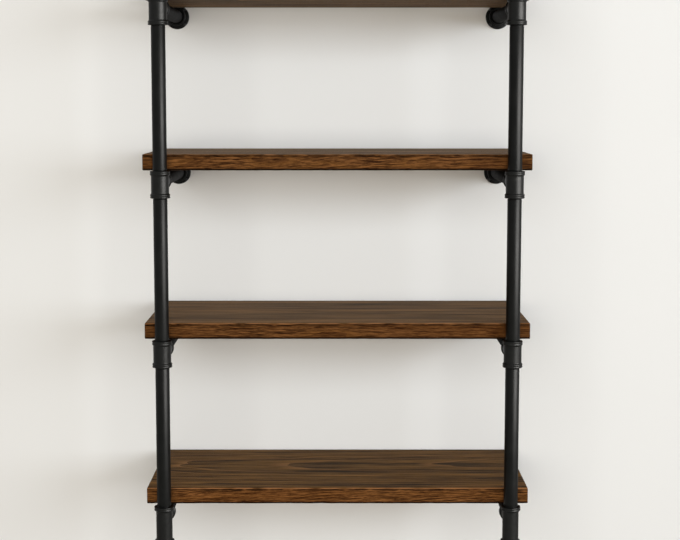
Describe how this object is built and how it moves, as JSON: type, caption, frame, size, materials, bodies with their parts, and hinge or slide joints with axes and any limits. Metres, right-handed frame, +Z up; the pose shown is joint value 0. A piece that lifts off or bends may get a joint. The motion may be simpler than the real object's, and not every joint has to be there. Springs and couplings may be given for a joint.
{
  "type": "pipe shelving unit",
  "caption": "Wall-hung shelving unit of dark wooden boards on black iron pipe uprights, tees, arms and round wall flanges.",
  "frame": {"origin": "on the wall plane, in the middle of the pattern of wall flanges: midway between the uprights and midway between the highest and lowest arms", "axes": "+Z up, +Y square into the wall, +X to the right along the boards for someone who faces the wall"},
  "size_m": [0.914, 0.4271, 1.4715],
  "materials": {
    "walnut": "oiled, satin, stained dark",
    "iron": "black, satin, slightly grainy",
    "pipe": "black lacquer on steel, satin",
    "screw": "black zinc, satin"
  },
  "bodies": {
    "root": {"board_1": "walnut", "board_2": "walnut", "board_3": "walnut", "board_4": "walnut", "tee_left_1": "iron", "arm_left_1": "pipe", "wall_flange_left_1": "iron", "wall_screw_left_1_upper": "screw", "wall_screw_left_1_lower": "screw", "tee_left_2": "iron", "arm_left_2": "pipe", "wall_flange_left_2": "iron", "wall_screw_left_2_upper": "screw", "wall_screw_left_2_lower": "screw", "tee_left_3": "iron", "arm_left_3": "pipe", "wall_flange_left_3": "iron", "wall_screw_left_3_upper": "screw", "wall_screw_left_3_lower": "screw", "tee_left_4": "iron", "arm_left_4": "pipe", "wall_flange_left_4": "iron", "wall_screw_left_4_upper": "screw", "wall_screw_left_4_lower": "screw", "upright_left_1": "pipe", "upright_left_2": "pipe", "upright_left_3": "pipe", "top_stub_left": "pipe", "top_cap_left": "iron", "bottom_stub_left": "pipe", "bottom_cap_left": "iron", "tee_right_1": "iron", "arm_right_1": "pipe", "wall_flange_right_1": "iron", "wall_screw_right_1_upper": "screw", "wall_screw_right_1_lower": "screw", "tee_right_2": "iron", "arm_right_2": "pipe", "wall_flange_right_2": "iron", "wall_screw_right_2_upper": "screw", "wall_screw_right_2_lower": "screw", "tee_right_3": "iron", "arm_right_3": "pipe", "wall_flange_right_3": "iron", "wall_screw_right_3_upper": "screw", "wall_screw_right_3_lower": "screw", "tee_right_4": "iron", "arm_right_4": "pipe", "wall_flange_right_4": "iron", "wall_screw_right_4_upper": "screw", "wall_screw_right_4_lower": "screw", "upright_right_1": "pipe", "upright_right_2": "pipe", "upright_right_3": "pipe", "top_stub_right": "pipe", "top_cap_right": "iron", "bottom_stub_right": "pipe", "bottom_cap_right": "iron"}
  },
  "joints": []
}
